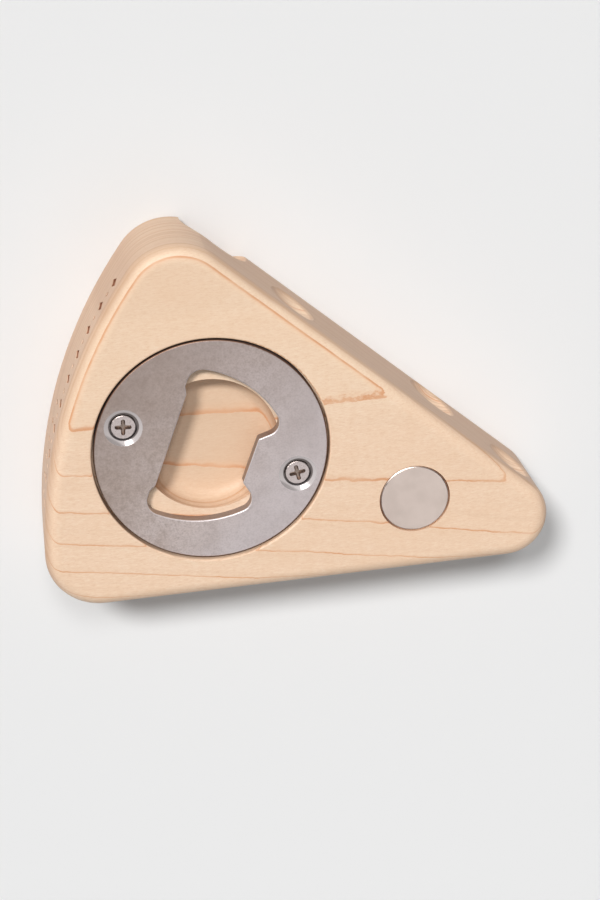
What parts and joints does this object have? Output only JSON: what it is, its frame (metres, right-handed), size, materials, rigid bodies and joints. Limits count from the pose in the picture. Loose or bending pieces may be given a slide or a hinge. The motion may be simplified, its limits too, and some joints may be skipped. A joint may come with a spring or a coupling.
{
  "type": "bottle opener",
  "caption": "Hand-held wooden bottle opener shaped like a wedge of cheese, with a round steel opener plate screwed into its face and a disc magnet near the tip.",
  "frame": {"origin": "centre of the bounding box's bottom face, on the flat wooden back", "axes": "+X towards the wedge's tip along the straight bottom side, +Y towards the top corner, +Z out of the front face that carries the opener plate"},
  "size_m": [0.1116, 0.0798, 0.0254],
  "materials": {
    "maple": "smooth sanded, clear satin oil",
    "plate_steel": "tumbled stainless steel, matte grey",
    "screw_steel": "plain zinc-plated steel",
    "magnet_nickel": "satin nickel plating"
  },
  "bodies": {
    "root": {"wooden_body": "maple", "opener_plate": "plate_steel", "plate_screw_left": "screw_steel", "plate_screw_right": "screw_steel", "disc_magnet": "magnet_nickel"}
  },
  "joints": []
}
